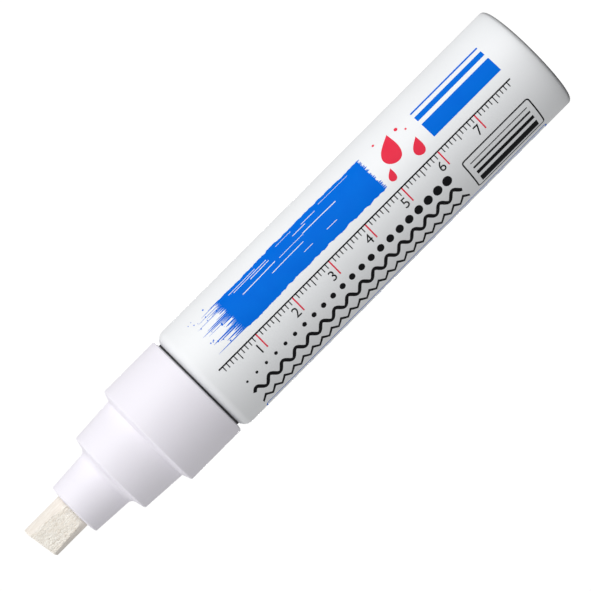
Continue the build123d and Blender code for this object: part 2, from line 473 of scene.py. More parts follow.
@dataclass(frozen=True)
class SteelFinish:
    """Bright steel with fine drawing or polishing marks and a thin stain."""

    name: str
    bright: Triple
    stained: Triple
    grain_scale: Triple
    roughness: float
    depth: float = 0.00001

    def make(self) -> Material:
        """Build the material.

        Returns:
            The steel.
        """
        tree = SurfaceTree(self.name)
        stain = tree.noise(scale=420.0, detail=4.0, rough=0.6).over(0.58, 0.25)
        grain = tree.streaks(self.grain_scale, detail=3.0, rough=0.6)
        colour = tree.mix(stain * 0.6, self.bright, self.stained)
        rough = stain * 0.15 + grain * 0.1 + self.roughness
        return tree.surface(colour, rough, tree.bump(grain, 0.2, self.depth), {"Metallic": 1.0})


@dataclass(frozen=True)
class FloorFinish:
    """Plain white studio floor that keeps only a faint shadow."""

    name: str = "studio_floor"
    dark: Triple = (0.14, 0.14, 0.14)
    light: Triple = (0.15, 0.15, 0.15)
    glow: float = 0.95

    def make(self) -> Material:
        """Build the material.

        Returns:
            The floor's white.
        """
        tree = SurfaceTree(self.name)
        tone = tree.mix(tree.noise(scale=40.0, detail=3.0), self.dark, self.light)
        body = tree.node("ShaderNodeBsdfDiffuse", "BSDF", None, {"Color": tone})
        glow = tree.node("ShaderNodeEmission", "Emission", None, {"Strength": self.glow})
        tree.end(tree.OUTPUT, tree.node("ShaderNodeAddShader", 0, None, {0: body, 1: glow}))
        return tree.material


# Shapes, in millimetres until a piece is finished


@dataclass(frozen=True)
class Corner:
    """One corner of a turned outline."""

    r: float
    z: float
    radius: float = 0.0

    @property
    def point(self) -> Vector:
        """The corner before it is rounded."""
        return Vector((self.r, self.z))


def rise(degrees: float) -> float:
    """Rise of a slope for each unit of its run."""
    return math.tan(math.radians(degrees))


def rounded(corners: Sequence[Corner], steps: int = 8) -> Outline:
    """Round the corners of a closed outline with tangent arcs.

    Args:
        corners: the corners in order.
        steps: pieces that an arc has.

    Returns:
        The outline's points.
    """
    points: Outline = []
    for index, corner in enumerate(corners):
        if corner.radius == 0.0:
            points.append(corner.point)
            continue
        back = (corners[index - 1].point - corner.point).normalized()
        on = (corners[(index + 1) % len(corners)].point - corner.point).normalized()
        half = back.angle(on) / 2
        centre = corner.point + (back + on).normalized() * corner.radius / math.sin(half)
        reach = corner.radius / math.tan(half)
        start = corner.point + back * reach - centre
        end = corner.point + on * reach - centre
        points += [centre + start.slerp(end, step / steps) * corner.radius for step in range(steps + 1)]
    return points


def face_meets_wall(face: Corner, slope: float, wall: Corner, draft: float) -> Corner:
    """Corner where a leaning front face meets the drafted wall ahead of it.

    Args:
        face: outer edge of the face.
        slope: lean of the face, in degrees.
        wall: front edge of the wall.
        draft: draft of the wall, in degrees.

    Returns:
        The corner.
    """
    lean = rise(slope)
    taper = rise(draft)
    r = (wall.r + (wall.z - face.z - face.r * lean) * taper) / (1 - lean * taper)
    return Corner(r, face.z + (face.r - r) * lean)


def turn(outline: Outline, segments: int) -> BMesh:
    """Spin a closed outline about the marker's axis.

    Args:
        outline: points of radius and height.
        segments: sides of the round.

    Returns:
        The turned mesh.
    """
    mesh = bmesh.new()
    verts = [mesh.verts.new((point.x, 0.0, point.y)) for point in outline]
    edges = [
        mesh.edges.new(pair)
        for pair in zip(verts, verts[1:] + verts[:1])
        if pair[0].co.x > 0.0 or pair[1].co.x > 0.0
    ]
    bmesh.ops.spin(
        mesh,
        geom=verts + edges,
        cent=ORIGIN,
        axis=AXIS,
        dvec=ORIGIN,
        angle=math.tau,
        steps=segments,
        use_merge=True,
    )
    close_up(mesh)
    return mesh


def close_up(mesh: BMesh) -> None:
    """Merge doubled points and turn all faces outwards."""
    bmesh.ops.remove_doubles(mesh, verts=mesh.verts, dist=WELD)
    bmesh.ops.recalc_face_normals(mesh, faces=mesh.faces)


def mesh_data(mesh: BMesh, name: str) -> bpy.types.Mesh:
    """Turn a bmesh into mesh data.

    Args:
        mesh: the bmesh, which is used up.
        name: the data's name.

    Returns:
        The data.
    """
    data = bpy.data.meshes.new(name)
    mesh.to_mesh(data)
    mesh.free()
    return data


def add_object(name: str, data: bpy.types.ID) -> SceneObject:
    """Put data into the scene.

    Args:
        name: the new object's name.
        data: its mesh, light or camera.

    Returns:
        The object.
    """
    added = bpy.data.objects.new(name, data)
    bpy.context.scene.collection.objects.link(added)
    return added


def finish_piece(mesh: BMesh, name: str, material: Material, body: Body, sharp: float = 40.0) -> SceneObject:
    """Turn a mesh in millimetres into a piece that rides on a body.

    Args:
        mesh: the mesh, which is used up.
        name: the piece's name.
        material: its finish.
        body: the body that carries it.
        sharp: edges with a larger angle than this, in degrees, stay sharp.

    Returns:
        The piece.
    """
    bmesh.ops.scale(mesh, vec=(MM, MM, MM), verts=mesh.verts)
    data = mesh_data(mesh, name)
    data.shade_smooth()
    data.set_sharp_from_angle(angle=math.radians(sharp))
    data.materials.append(material)
    piece = add_object(name, data)
    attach(piece, body.value)
    return piece


@dataclass(frozen=True)
class NodeBox:
    """Box of a CAD node."""

    low: Vector
    high: Vector

    @classmethod
    def of(cls, node: str) -> "NodeBox":
        """Read the box from the frame."""
        low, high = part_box(node)
        return cls(Vector(low) / MM, Vector(high) / MM)

    @property
    def radius(self) -> float:
        """Radius of a round node."""
        return self.high.x

    @property
    def length(self) -> float:
        """Length along the marker's axis."""
        return self.high.z - self.low.z


# Sub-assemblies


@dataclass
class Barrel:
    """Drawn can with a dished base and a mouth rolled inwards."""

    box: NodeBox
    ink_film: float = 0.02
    wall: float = 0.6
    base: float = 1.2
    base_edge: float = 0.9
    base_inner: float = 0.8
    ring_width: float = 2.6
    dish_depth: float = 0.4
    dish_edge: float = 0.3
    roll_radius: float = 2.2
    roll_degrees: float = 75.0
    lip_edge: float = 0.12
    segments: int = 288

    @property
    def radius(self) -> float:
        """Radius of the enamel, under the ink."""
        return self.box.radius - self.ink_film

    @property
    def roll_turn(self) -> float:
        """How far the mouth is rolled, in radians."""
        return math.radians(self.roll_degrees)

    @property
    def roll_r(self) -> float:
        """Radius at the centre of the roll."""
        return self.radius - self.roll_radius

    @property
    def roll_z(self) -> float:
        """Height where the roll starts."""
        return self.box.high.z - self.roll_radius * math.sin(self.roll_turn)

    @property
    def inner_roll(self) -> float:
        """Radius of the roll on the inside of the wall."""
        return self.roll_radius - self.wall

    def roll_corner(self, radius: float) -> Corner:
        """Corner that an arc of the roll rounds off."""
        return Corner(self.roll_r + radius, self.roll_z + radius * math.tan(self.roll_turn / 2), radius)

    def roll_end(self, radius: float, edge: float = 0.0) -> Corner:
        """End of an arc of the roll."""
        end_r = self.roll_r + radius * math.cos(self.roll_turn)
        return Corner(end_r, self.roll_z + radius * math.sin(self.roll_turn), edge)

    def outline(self) -> Outline:
        """Outline of the wall, from the dish round the mouth to the floor inside.

        Returns:
            The closed outline.
        """
        dish_r = self.radius - self.base_edge - self.ring_width
        floor = self.dish_depth + self.base
        return rounded(
            [
                Corner(0.0, self.dish_depth),
                Corner(dish_r - self.dish_depth, self.dish_depth, self.dish_edge),
                Corner(dish_r, 0.0, self.dish_edge),
                Corner(self.radius, 0.0, self.base_edge),
                self.roll_corner(self.roll_radius),
                self.roll_end(self.roll_radius, self.lip_edge),
                self.roll_end(self.inner_roll, self.lip_edge),
                self.roll_corner(self.inner_roll),
                Corner(self.radius - self.wall, floor, self.base_inner),
                Corner(0.0, floor),
            ]
        )

    def build(self, material: Material) -> SceneObject:
        """Make the can.

        Args:
            material: the enamel.

        Returns:
            The piece.
        """
        piece = finish_piece(turn(self.outline(), self.segments), "enamelled_can", material, Body.HOUSING)
        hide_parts("barrel")
        return piece


@dataclass
class TipHolder:
    """Moulded front end: spigot, collar, cap seat and nozzle with its stepped bore."""

    box: NodeBox
    barrel: Barrel
    nib: NodeBox
    seam: float = 0.39
    fit: float = 0.05
    neck_clearance: float = 0.25
    spigot_chamfer: float = 0.5
    spigot_wall: float = 2.6
    collar_length: float = 13.98
    rear_width: float = 1.4
    rear_slope: float = 10.0
    rear_edge: float = 0.15
    collar_front: float = 0.4
    shoulder_slope: float = 20.0
    seat_step: float = 2.55
    seat_length: float = 10.4
    seat_draft: float = 3.6
    seat_root: float = 0.3
    seat_front: float = 0.4
    seat_slope: float = 14.0
    nozzle_wall: float = 1.85
    nozzle_draft: float = 3.5
    nozzle_slope: float = 8.0
    nozzle_root: float = 1.3
    nozzle_rim: float = 0.35
    bore_edge: float = 0.12
    bore_clearance: float = 0.1
    chamber_gap: float = 2.4
    chamber_roof: float = 4.0
    socket_depth: float = 17.1
    groove_count: int = 6
    groove_width: float = 1.0
    groove_depth: float = 0.5
    groove_slack: float = 1.01
    segments: int = 288
    sharp_degrees: float = 32.0

    @property
    def bore_r(self) -> float:
        """Radius of the nib's bore."""
        return self.nib.radius + self.bore_clearance

    @property
    def collar_z(self) -> float:
        """Height of the collar's rear edge."""
        return self.barrel.box.high.z + self.seam

    @property
    def seat_z(self) -> float:
        """Height of the cap seat's front edge."""
        return self.collar_z + self.collar_length + self.seat_length

    @property
    def chamber_z(self) -> float:
        """Height where the nib's bore opens into the chamber."""
        return self.seat_z - self.chamber_roof

    def outline(self) -> Outline:
        """Outline of the moulding, from the spigot round the nozzle and back through the bore.

        Returns:
            The closed outline.
        """
        can = self.barrel
        wide_r = self.box.radius
        top_z = self.box.high.z
        cone_z = self.collar_z + self.rear_width * rise(self.rear_slope)
        rim_z = top_z - self.nozzle_wall * rise(self.nozzle_slope)
        rim = Corner(self.bore_r + self.nozzle_wall, rim_z, self.nozzle_rim)
        shoulder = Corner(wide_r, self.collar_z + self.collar_length, self.collar_front)
        seat = Corner(wide_r - self.seat_step, self.seat_z, self.seat_front)
        step = face_meets_wall(shoulder, self.shoulder_slope, seat, self.seat_draft)
        root = face_meets_wall(seat, self.seat_slope, rim, self.nozzle_draft)
        neck_r = can.roll_end(can.inner_roll).r - self.neck_clearance
        nest = can.inner_roll - self.fit
        nest_turn = math.acos((neck_r - can.roll_r) / nest)
        spigot_r = can.roll_r + nest
        spigot_z = self.box.low.z
        socket_r = spigot_r - self.spigot_wall
        socket_z = spigot_z + self.socket_depth
        chamber_r = self.nib.radius + self.chamber_gap
        return rounded(
            [
                Corner(spigot_r, can.roll_z + nest * math.tan(nest_turn / 2), nest),
                Corner(neck_r, can.roll_z + nest * math.sin(nest_turn)),
                Corner(neck_r, self.collar_z),
                Corner(wide_r - self.rear_width, self.collar_z, self.rear_edge),
                Corner(wide_r, cone_z, self.rear_edge),
                shoulder,
                Corner(step.r, step.z, self.seat_root),
                seat,
                Corner(root.r, root.z, self.nozzle_root),
                rim,
                Corner(self.bore_r, top_z, self.bore_edge),
                Corner(self.bore_r, self.chamber_z),
                Corner(chamber_r, self.chamber_z),
                Corner(chamber_r, socket_z),
                Corner(socket_r, socket_z),
                Corner(socket_r, spigot_z),
                Corner(spigot_r - self.spigot_chamfer, spigot_z),
                Corner(spigot_r, spigot_z + self.spigot_chamfer),
            ]
        )

    def cut_air_grooves(self, mesh: BMesh) -> None:
        """Push the bore's wall outwards along each air groove.

        Args:
            mesh: the turned moulding.
        """
        share = math.tau / self.groove_count
        reach = self.bore_r + self.bore_edge * self.groove_slack
        for vert in mesh.verts:
            radius = vert.co.xy.length
            if radius > reach or vert.co.z < self.chamber_z - self.bore_edge:
                continue
            angle = math.atan2(vert.co.y, vert.co.x)
            off = angle - share * round(angle / share)
            if abs(off) * self.bore_r <= self.groove_width / 2:
                vert.co.xy *= (radius + self.groove_depth) / radius

    def build(self, material: Material) -> SceneObject:
        """Make the moulding.

        Args:
            material: the moulded plastic.

        Returns:
            The piece.
        """
        mesh = turn(self.outline(), self.segments)
        self.cut_air_grooves(mesh)
        piece = finish_piece(mesh, "moulded_tip_holder", material, Body.HOUSING, self.sharp_degrees)
        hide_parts("tip_holder")
        return piece


@dataclass(frozen=True)
class FeltRelief:
    """Tufts and fibre ridges that stand out of the felt."""

    cut_height: float = 0.05
    skin_height: float = 0.012
    drift_radians: float = 1.1
    drift_scale: float = 0.4
    ridge_level: float = 0.6
    ridge_depth: float = 2.0
    ridge_across: float = 3.4
    ridge_along: float = 0.95
    tuft_share: float = 0.5
    tuft_scale: float = 1.3
    tuft_stretch: float = 0.7
    tuft_octaves: Octaves = (0.9, 2.1, 3)

    def height(self, point: Vector, cut: float) -> float:
        """Height of the felt at a point.

        Args:
            point: a point of the nib.
            cut: 1 on a cut face, 0 on the pressed skin.

        Returns:
            The height.
        """
        drift = self.drift_radians * noise.noise(point * self.drift_scale)
        across = point.x * math.cos(drift) + point.z * math.sin(drift)
        along = point.z * math.cos(drift) - point.x * math.sin(drift)
        fine = self.ridge_across
        ridge_at = Vector((across * fine, point.y * fine, along * self.ridge_along))
        ridge = self.ridge_level - self.ridge_depth * abs(noise.noise(ridge_at))
        tuft_at = Vector((point.x, point.y, point.z * self.tuft_stretch)) * self.tuft_scale
        tuft = noise.fractal(tuft_at, *self.tuft_octaves)
        full = self.skin_height + (self.cut_height - self.skin_height) * cut
        return full * (ridge + self.tuft_share * tuft)


@dataclass
class Nib:
    """Felt bar with two chisel flats and a slanted end."""

    box: NodeBox
    rim_z: float
    relief: FeltRelief = FeltRelief()
    tip_thickness: float = 5.4
    chisel_degrees: float = 4.2
    slant_degrees: float = 8.0
    turn_degrees: float = -10.0
    skin: float = 0.07
    edge_blend: float = 0.22
    end_round: float = 0.25
    hidden_step: float = 2.0
    hidden_margin: float = 2.0
    ring_step: float = 0.11
    around: int = 224
    end_rings: int = 16
    flat_gain: float = 12.0
    flat_offset: float = 10.6
    paleness: float = 0.62
    sharp_degrees: float = 180.0

    @property
    def radius(self) -> float:
        """Radius of the bar under its fibres."""
        return self.box.radius - self.skin

    @property
    def tip_z(self) -> float:
        """Height of the long corner under its fibres."""
        return self.box.high.z - self.skin

    def half_thickness(self, z: float) -> float:
        """Half the distance between the chisel flats at a height."""
        return self.tip_thickness / 2 - self.skin + (self.tip_z - z) * rise(self.chisel_degrees)

    def slant_drop(self, x: float, z: float) -> float:
        """How far the slanted end lowers a point of the straight bar.

        Args:
            x: the point's place across the slant.
            z: its height.

        Returns:
            The drop.
        """
        lean = max(0.0, (z - self.rim_z) / (self.tip_z - self.rim_z))
        fall = (self.radius - x) * rise(self.slant_degrees)
        return fall * lean * lean * (3 - 2 * lean)

    def heights(self) -> list[float]:
        """Heights of the rings, coarse inside the holder and fine outside it.

        Returns:
            The heights from the rear end to the tip.
        """
        low = self.box.low.z
        fine_z = self.rim_z - self.hidden_margin
        hidden = math.ceil((fine_z - low) / self.hidden_step)
        shown = math.ceil((self.tip_z - fine_z) / self.ring_step)
        return [low + (fine_z - low) * n / hidden for n in range(hidden)] + [
            fine_z + (self.tip_z - fine_z) * n / shown for n in range(shown + 1)
        ]

    def bar(self) -> BMesh:
        """Round bar of rings, closed at both ends.

        Returns:
            The bar.
        """
        mesh = bmesh.new()
        heights = self.heights()
        rear = Matrix.Translation((0.0, 0.0, heights[0]))
        made = bmesh.ops.create_circle(mesh, radius=self.radius, segments=self.around, matrix=rear)
        first = list({edge for vert in made["verts"] for edge in vert.link_edges})
        edges = first
        for low, high in zip(heights, heights[1:]):
            edges = self.raise_ring(mesh, edges, Matrix.Translation((0.0, 0.0, high - low)))
        self.close_end(mesh, edges)
        self.close_end(mesh, first)
        return mesh

    @staticmethod
    def raise_ring(mesh: BMesh, edges: list[Edge], move: Matrix) -> list[Edge]:
        """Extrude a ring of edges.

        Args:
            mesh: the mesh that grows.
            edges: the ring to extrude.
            move: where the new ring goes.

        Returns:
            The new ring's edges.
        """
        made = bmesh.ops.extrude_edge_only(mesh, edges=edges)["geom"]
        verts = [item for item in made if isinstance(item, Vert)]
        bmesh.ops.transform(mesh, matrix=move, verts=verts)
        return [item for item in made if isinstance(item, Edge)]

    def close_end(self, mesh: BMesh, edges: list[Edge]) -> None:
        """Close an end with smaller and smaller rings.

        Args:
            mesh: the bar.
            edges: its outermost ring at that end.
        """
        for left in range(self.end_rings, 1, -1):
            shrink = (left - 1) / left
            edges = self.raise_ring(mesh, edges, Matrix.Diagonal((shrink, shrink, 1.0, 1.0)))
        bmesh.ops.contextual_create(mesh, geom=edges)

    def shape(self, point: Vector) -> Vector:
        """Place of a point of the round bar on the cut nib.

        Args:
            point: the point on the bar.

        Returns:
            The point on the nib.
        """
        x, y, z = point
        share = min(1.0, math.hypot(x, y) / self.radius)
        limit = self.half_thickness(z) * share
        blend = self.edge_blend * share + TINY
        flat = min(abs(y), limit) - max(blend - abs(abs(y) - limit), 0.0) ** 2 / (4 * blend)
        end = max(0.0, (z - self.tip_z + self.end_round) / self.end_round)
        tuck = self.end_round * (1 - math.sqrt(max(0.0, 1 - end * end)))
        x *= 1 - tuck / self.radius
        flat *= 1 - tuck / self.half_thickness(self.tip_z)
        return Vector((x, math.copysign(flat, y), z - self.slant_drop(x, z)))

    @staticmethod
    def felt_layers(mesh: BMesh) -> list[bmesh.types.BMLayerItem]:
        """Add the layers for where the felt is cut and how pale it is."""
        return [mesh.verts.layers.float.new(name) for name in (CUT_FELT, FIBRE_PALENESS)]

    def body(self) -> BMesh:
        """Cut bar with its felted surface.

        Returns:
            The mesh.
        """
        mesh = self.bar()
        cut_layer, pale_layer = self.felt_layers(mesh)
        for vert in mesh.verts:
            vert.co = self.shape(vert.co)
        bmesh.ops.recalc_face_normals(mesh, faces=mesh.faces)
        mesh.normal_update()
        start = self.rim_z - self.hidden_margin
        moves = []
        for vert in mesh.verts:
            flat = abs(vert.normal.y) * self.flat_gain - self.flat_offset
            cut = max(abs(vert.normal.z), min(1.0, max(0.0, flat)))
            vert[cut_layer] = cut
            vert[pale_layer] = self.paleness
            if vert.co.z > start:
                moves.append((vert, vert.normal * self.relief.height(vert.co, cut)))
        for vert, move in moves:
            vert.co += move
        return mesh

    def build(self, material: Material) -> list[SceneObject]:
        """Make the nib and its loose fibres.

        Args:
            material: the felt.

        Returns:
            The pieces.
        """
        fibres = LooseFibres(self)
        meshes = [self.body(), fibres.mesh()]
        turned = Matrix.Rotation(math.radians(self.turn_degrees), 3, "Z")
        for mesh in meshes:
            bmesh.ops.rotate(mesh, cent=ORIGIN, matrix=turned, verts=mesh.verts)
        bar = finish_piece(meshes[0], "felt_nib", material, Body.PLUNGER, self.sharp_degrees)
        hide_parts("nib")
        loose = finish_piece(meshes[1], "nib_fibres", material, Body.PLUNGER, fibres.sharp_degrees)
        return [piece for piece in (bar, loose)]


@dataclass
class LooseFibres:
    """Loose fibres that lie on the nib's two flats."""

    nib: Nib
    count: int = 640
    radius: float = 0.11
    flatness: float = 0.5
    sides: int = 3
    spans: int = 4
    below_rim: float = 0.5
    below_tip: float = 0.8
    spread: float = 0.96
    stray: float = 0.3
    lengths: Span = (0.9, 2.3)
    curl: float = 0.2
    lifts: Span = (-0.01, 0.04)
    thickness: Span = (0.6, 1.5)
    sink: float = 0.015
    paleness: Numbers = (0.1, 0.4, 0.8, 1.0, 1.0)
    seed: int = 11
    sharp_degrees: float = 60.0

    def strand(self) -> bpy.types.Mesh:
        """One straight fibre of unit length and radius, along X.

        Returns:
            The fibre that the others are copied from.
        """
        mesh = bmesh.new()
        lying = Matrix.Rotation(math.pi / 2, 4, "Y")
        bmesh.ops.create_cone(
            mesh, cap_ends=True, segments=self.sides, radius1=1.0, radius2=1.0, depth=1.0, matrix=lying
        )
        sides = [edge for edge in mesh.edges if abs(edge.verts[0].co.x - edge.verts[1].co.x) > 0.5]
        bmesh.ops.subdivide_edges(mesh, edges=sides, cuts=self.spans - 1, use_grid_fill=True)
        return mesh_data(mesh, "fibre")

    def mesh(self) -> BMesh:
        """All the fibres.

        Returns:
            The mesh.
        """
        draw = random.Random(self.seed)
        strand = self.strand()
        mesh = bmesh.new()
        cut_layer, pale_layer = self.nib.felt_layers(mesh)
        for index in range(self.count):
            before = len(mesh.verts)
            mesh.from_mesh(strand)
            mesh.verts.ensure_lookup_table()
            verts = mesh.verts[before:]
            self.lay(verts, 1.0 if index % 2 else -1.0, draw)
            paleness = draw.choice(self.paleness)
            for vert in verts:
                vert[cut_layer] = 1.0
                vert[pale_layer] = paleness
        bpy.data.meshes.remove(strand)
        return mesh

    def lay(self, verts: Points, side: float, draw: random.Random) -> None:
        """Bend one fibre and lay it on a flat.

        Args:
            verts: the fibre's points.
            side: the flat that it lies on, 1 or -1.
            draw: the random numbers.
        """
        nib = self.nib
        z = draw.uniform(nib.rim_z - self.below_rim, nib.tip_z - self.below_tip)
        half_width = math.sqrt(nib.radius**2 - nib.half_thickness(z) ** 2)
        x = draw.uniform(-self.spread, self.spread) * half_width
        heading = draw.gauss(0.0, self.stray)
        length = draw.uniform(*self.lengths)
        curl = draw.uniform(-self.curl, self.curl)
        lift = draw.uniform(*self.lifts)
        thick = self.radius * draw.uniform(*self.thickness)
        for vert in verts:
            run = vert.co.x
            bow = 1 - 4 * run * run
            across = run * length * math.sin(heading) + curl * bow * length
            along = min(run * length * math.cos(heading), nib.tip_z - nib.end_round - z)
            place = max(-half_width, min(half_width, x + across + vert.co.y * thick))
            height = lift * bow - self.sink + vert.co.z * thick * self.flatness
            flat = nib.half_thickness(z + along) + height
            vert.co = Vector((place, side * flat, z + along - nib.slant_drop(place, z + along)))


@dataclass
class Valve:
    """Pieces inside the marker: gasket, valve case, seat, rod, spring and mixing balls."""

    spring_box: NodeBox
    joint: str = "nib_press"
    wire: float = 0.6
    dead_turns: float = 1.0
    live_turns: float = 4.0
    dead_pitch: float = 0.64
    steps_per_turn: int = 48
    wire_sides: int = 16
    sharp_degrees: float = 60.0

    def coil(self) -> BMesh:
        """Wound wire with closed end turns.

        Returns:
            The mesh.
        """
        mesh = bmesh.new()
        start = (self.spring_box.radius - self.wire / 2, 0.0, self.spring_box.low.z + self.wire / 2)
        matrix = Matrix.Translation(start) @ Matrix.Rotation(math.pi / 2, 4, "X")
        ring = bmesh.ops.create_circle(
            mesh, cap_ends=True, radius=self.wire / 2, segments=self.wire_sides, matrix=matrix
        )["verts"]
        end = list({item for vert in ring for item in (*vert.link_edges, *vert.link_faces)}) + list(ring)
        height = self.spring_box.length - self.wire
        dead = (self.dead_turns, self.dead_pitch)
        live = (self.live_turns, (height - 2 * self.dead_turns * self.dead_pitch) / self.live_turns)
        for turns, pitch in (dead, live, dead):
            steps = round(turns * self.steps_per_turn)
            end = bmesh.ops.spin(
                mesh,
                geom=end,
                cent=ORIGIN,
                axis=AXIS,
                dvec=(0.0, 0.0, turns * pitch / steps),
                angle=math.tau * turns,
                steps=steps,
            )["geom_last"]
        close_up(mesh)
        return mesh

    @staticmethod
    def dress(node: str, material: Material) -> SceneObject:
        """Give a CAD node its finish.

        Args:
            node: the node's name.
            material: its finish.

        Returns:
            The node's object.
        """
        shown = frame["nodes"][node]
        shown.data.materials.clear()
        shown.data.materials.append(material)
        return shown

    def build(self, steel: Material, finishes: Mapping[str, Material]) -> list[SceneObject]:
        """Dress the inner nodes and wind the spring.

        Args:
            steel: the spring's finish.
            finishes: a finish for each of the other nodes.

        Returns:
            The nodes and the spring.
        """
        dressed = [self.dress(node, material) for node, material in finishes.items()]
        spring = finish_piece(self.coil(), "wound_valve_spring", steel, Body.HOUSING, self.sharp_degrees)
        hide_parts("valve_spring")
        limits = next(joint["range_m"] for joint in frame["joints"] if joint["name"] == self.joint)
        stroke = max(abs(limit) for limit in limits)
        length = self.spring_box.length * MM
        1 - stroke / length
        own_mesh(spring)
        return [*dressed, spring]


# Printed label


@dataclass(frozen=True)
class Swing:
    """How a line swings to both sides of its middle, and how thick it is."""

    middle: float
    height: float
    period: float
    line: float


class PrintSheet:
    """Flat artwork of one ink, which is then wrapped round the can.

    A place on the sheet is the distance along it, from the can's mouth to its rear end, and the arc
    across it, upwards from the line that faces the viewer.
    """

    ROUND = 24
    BEND_STEP = 0.45
    BEND_SLACK = 0.0002
    CORNER_STEPS = 6
    FIGURE_STEPS = 3
    DROP_POINT = 1.4
    DROP_FULLNESS = 0.68

    def __init__(self) -> None:
        """Start with an empty sheet."""
        self.mesh = bmesh.new()

    def grid(self, columns: int, rows: int) -> Points:
        """Add a grid from -0.5 to 0.5 each way."""
        return bmesh.ops.create_grid(self.mesh, x_segments=columns, y_segments=rows, size=0.5)["verts"]

    def bar(self, start: float, end: float, low: float, high: float) -> Points:
        """Add a filled rectangle.

        Args:
            start: its edge nearest to the mouth.
            end: its edge nearest to the rear.
            low: its lower edge.
            high: its upper edge.

        Returns:
            Its points.
        """
        verts = self.grid(1, 1)
        bmesh.ops.scale(self.mesh, vec=(end - start, high - low, 1.0), verts=verts)
        bmesh.ops.translate(self.mesh, vec=((start + end) / 2, (low + high) / 2, 0.0), verts=verts)
        return verts

    def dot(self, along: float, across: float, diameter: float) -> None:
        """Add a filled circle."""
        place = Matrix.Translation((along, across, 0.0))
        bmesh.ops.create_circle(
            self.mesh, cap_ends=True, radius=diameter / 2, segments=self.ROUND, matrix=place
        )

    def dots(self, count: int, along: Span, across: float, diameters: Span) -> None:
        """Add a row of dots that grow.

        Args:
            count: how many dots it has.
            along: places of the first and the last dot.
            across: the row's middle line.
            diameters: sizes of the first and the last dot.
        """
        for index in range(count):
            share = index / (count - 1)
            place = along[0] + share * (along[1] - along[0])
            self.dot(place, across, diameters[0] + share * (diameters[1] - diameters[0]))

    def drop(self, along: float, across: float, length: float, width: float, lean: float) -> None:
        """Add a paint drop.

        Args:
            along: place of its middle along the sheet.
            across: place of its middle across the sheet.
            length: length from its round end to its point.
            width: size across.
            lean: which way its point looks, in degrees.
        """
        made = bmesh.ops.create_circle(self.mesh, cap_ends=True, radius=1.0, segments=2 * self.ROUND)
        for vert in made["verts"]:
            turned = math.atan2(vert.co.y, vert.co.x)
            slim = math.sin(abs(turned) / 2) ** self.DROP_POINT
            side = math.sin(turned) * slim * width * self.DROP_FULLNESS
            vert.co = Vector((math.cos(turned) * length / 2, side, 0.0))
        place = Matrix.Translation((along, across, 0.0)) @ Matrix.Rotation(math.radians(lean), 4, "Z")
        bmesh.ops.transform(self.mesh, matrix=place, verts=made["verts"])

    def border(self, start: float, end: float, low: float, high: float, line: float, radius: float) -> None:
        """Add the outline of a rectangle with round corners.

        Args:
            start: its edge nearest to the mouth.
            end: its edge nearest to the rear.
            low: its lower edge.
            high: its upper edge.
            line: thickness of the outline.
            radius: radius of the corners.
        """
        rounds = bmesh.ops.bevel(
            self.mesh,
            geom=self.bar(start, end, low, high),
            offset=radius,
            offset_type="OFFSET",
            segments=self.CORNER_STEPS,
            profile=0.5,
            affect="VERTICES",
            material=-1,
        )["verts"]
        face = rounds[0].link_faces[0]
        bmesh.ops.inset_individual(self.mesh, faces=[face], thickness=line, use_even_offset=True)
        bmesh.ops.delete(self.mesh, geom=[face], context="FACES_ONLY")

    def wave(self, ends: Span, swing: Swing) -> None:
        """Add a wavy line.

        Args:
            ends: where it starts and ends along the sheet.
            swing: its swing.
        """
        length = ends[1] - ends[0]
        for vert in self.grid(round(length / swing.period * self.ROUND), 1):
            along = ends[0] + (vert.co.x + 0.5) * length
            phase = math.tau * (along - ends[0]) / swing.period
            slope = swing.height * math.tau / swing.period * math.cos(phase)
            side = Vector((-slope, 1.0, 0.0)).normalized() * vert.co.y * swing.line
            vert.co = Vector((along, swing.middle + swing.height * math.sin(phase), 0.0)) + side

    def zigzag(self, ends: Span, swing: Swing) -> None:
        """Add a zigzag line of whole zigzags.

        Args:
            ends: where it starts and about where it ends along the sheet.
            swing: its swing.
        """
        spans = 2 * round((ends[1] - ends[0]) / swing.period)
        upright = swing.line * math.hypot(1.0, 4 * swing.height / swing.period)
        for vert in self.grid(spans, 1):
            corner = round((vert.co.x + 0.5) * spans)
            across = swing.middle + (swing.height if corner % 2 else -swing.height)
            vert.co = Vector((ends[0] + corner * swing.period / 2, across + vert.co.y * upright, 0.0))

    def figure(self, text: str, along: float, across: float, height: float) -> None:
        """Add a plain figure.

        Args:
            text: the figure.
            along: its middle along the sheet.
            across: its foot.
            height: its height.
        """
        curve = bpy.data.curves.new("figure", "FONT")
        curve.body = text
        curve.align_x = "CENTER"
        curve.resolution_u = self.FIGURE_STEPS
        shown = bpy.data.objects.new("figure", curve)
        data = bpy.data.meshes.new_from_object(shown)
        tall = max(vert.co.y for vert in data.vertices)
        data.transform(Matrix.Translation((along, across, 0.0)) @ Matrix.Scale(height / tall, 4))
        self.mesh.from_mesh(data)
        bpy.data.objects.remove(shown)
        bpy.data.curves.remove(curve)
        bpy.data.meshes.remove(data)

